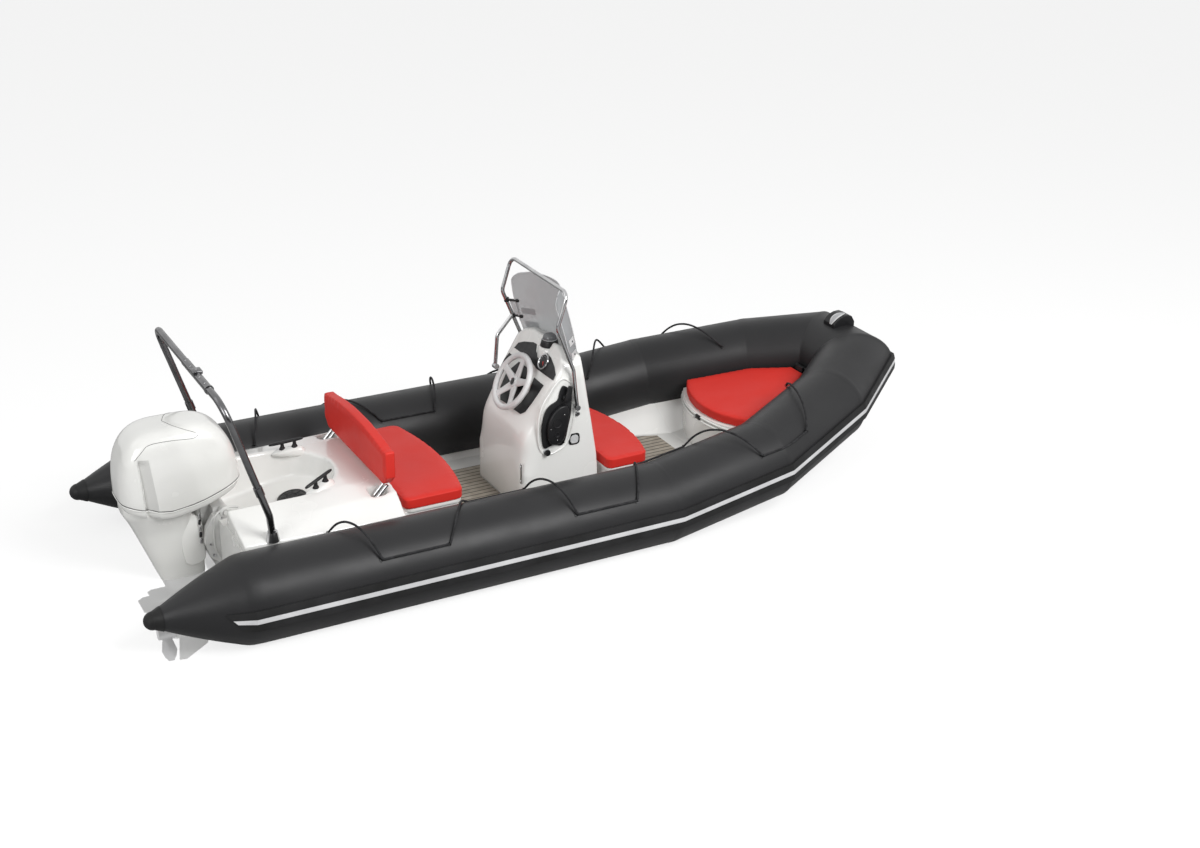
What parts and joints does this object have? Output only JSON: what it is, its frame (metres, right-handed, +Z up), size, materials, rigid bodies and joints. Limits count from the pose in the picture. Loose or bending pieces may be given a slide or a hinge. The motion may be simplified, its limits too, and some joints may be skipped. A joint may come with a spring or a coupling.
{
  "type": "rigid inflatable boat",
  "caption": "Rigid inflatable boat with dark collar tubes, white hull, helm console, red cushions, dark roll bar and a white outboard engine.",
  "frame": {"origin": "on the centreline, at the transom's outer face and the level of the still water", "axes": "+X towards the bow, +Y to port, +Z up"},
  "size_m": [5.5629, 2.3292, 2.1695],
  "materials": {
    "collar_fabric": "satin coated fabric",
    "black_rubber": "matte moulded rubber",
    "grey_rubber": "matte",
    "white_gelcoat": "glossy gelcoat",
    "red_vinyl": "smooth coated vinyl",
    "plank_mat": "matte foam planks",
    "stainless_steel": "polished",
    "gunmetal_tube": "dark satin",
    "white_paint": "gloss paint",
    "grey_paint": "satin paint",
    "propeller_alloy": "satin",
    "smoked_acrylic": "clear smoked sheet",
    "light_grey_plastic": "satin",
    "grey_plastic": "satin",
    "black_rope": "braided",
    "black_plastic": "satin"
  },
  "bodies": {
    "hull": {"aft_deck": "white_gelcoat", "backrest": "red_vinyl", "backrest_brackets": "stainless_steel", "bench_base": "white_gelcoat", "bow_fitting": "grey_plastic", "bow_locker": "white_gelcoat", "clamp_brackets": "grey_paint", "cleats": "black_plastic", "compass": "black_plastic", "cone_caps": "black_rubber", "console": "white_gelcoat", "control_box": "black_plastic", "control_lever": "black_plastic", "dash_panels": "black_plastic", "fore_seat_base": "white_gelcoat", "gauge": "black_plastic", "grab_rail": "stainless_steel", "helm_hub": "black_plastic", "hull": "white_gelcoat", "lifeline_eyes": "stainless_steel", "lifelines": "black_rope", "roll_bar": "gunmetal_tube", "roll_bar_feet": "white_paint", "rub_strake": "black_rubber", "screen_clamps": "black_plastic", "side_lock": "stainless_steel", "side_vent": "grey_plastic", "sole_mat": "plank_mat", "strake_stripe": "grey_rubber", "transom": "white_gelcoat", "tube_bow_port": "collar_fabric", "tube_bow_starboard": "collar_fabric", "tube_nose": "collar_fabric", "tube_stern_port": "collar_fabric", "tube_stern_starboard": "collar_fabric", "well_hatch": "black_plastic", "windscreen": "smoked_acrylic"},
    "swivel": {"swivel_bracket": "grey_paint"},
    "engine": {"engine_cowl": "white_paint", "engine_pan": "white_paint", "engine_leg": "white_paint", "gearcase": "white_paint", "splash_plate": "white_paint"},
    "propeller": {"propeller": "propeller_alloy"},
    "helm_wheel": {"steering_wheel": "light_grey_plastic"},
    "bench_seat": {"bench_lid": "white_gelcoat", "bench_cushion": "red_vinyl"},
    "fore_seat": {"fore_seat_lid": "white_gelcoat", "fore_seat_cushion": "red_vinyl"},
    "bow_seat": {"bow_lid": "white_gelcoat", "bow_cushion": "red_vinyl", "locker_latch": "black_plastic"}
  },
  "joints": [
    {"name": "engine_tilt", "type": "hinge", "parent": "hull", "child": "swivel", "pos_m": [0.04, 0, 0.432], "axis": [0, 1, 0], "range_deg": [0, 62]},
    {"name": "engine_steer", "type": "hinge", "parent": "swivel", "child": "engine", "pos_m": [-0.078, 0, 0.3], "axis": [0, 0, 1], "range_deg": [-30, 30]},
    {"name": "propeller_turn", "type": "hinge", "parent": "engine", "child": "propeller", "pos_m": [-0.345, 0, -0.385], "axis": [1, 0, 0], "continuous": true},
    {"name": "helm_turn", "type": "hinge", "parent": "hull", "child": "helm_wheel", "pos_m": [2.02757, 0, 0.8548], "axis": [-0.8575, 0, 0.5145], "range_deg": [-540, 540]},
    {"name": "bench_lid_lift", "type": "hinge", "parent": "hull", "child": "bench_seat", "pos_m": [1.503, 0, 0.365], "axis": [0, 1, 0], "range_deg": [0, 95]},
    {"name": "fore_seat_lift", "type": "hinge", "parent": "hull", "child": "fore_seat", "pos_m": [2.885, 0, 0.282], "axis": [0, 1, 0], "range_deg": [0, 95]},
    {"name": "bow_lid_lift", "type": "hinge", "parent": "hull", "child": "bow_seat", "pos_m": [4.33, 0, 0.548], "axis": [0, 1, 0], "range_deg": [0, 70]}
  ],
  "couplings": [
    {"joint": "helm_turn", "follows": "engine_steer", "ratio": -18}
  ]
}
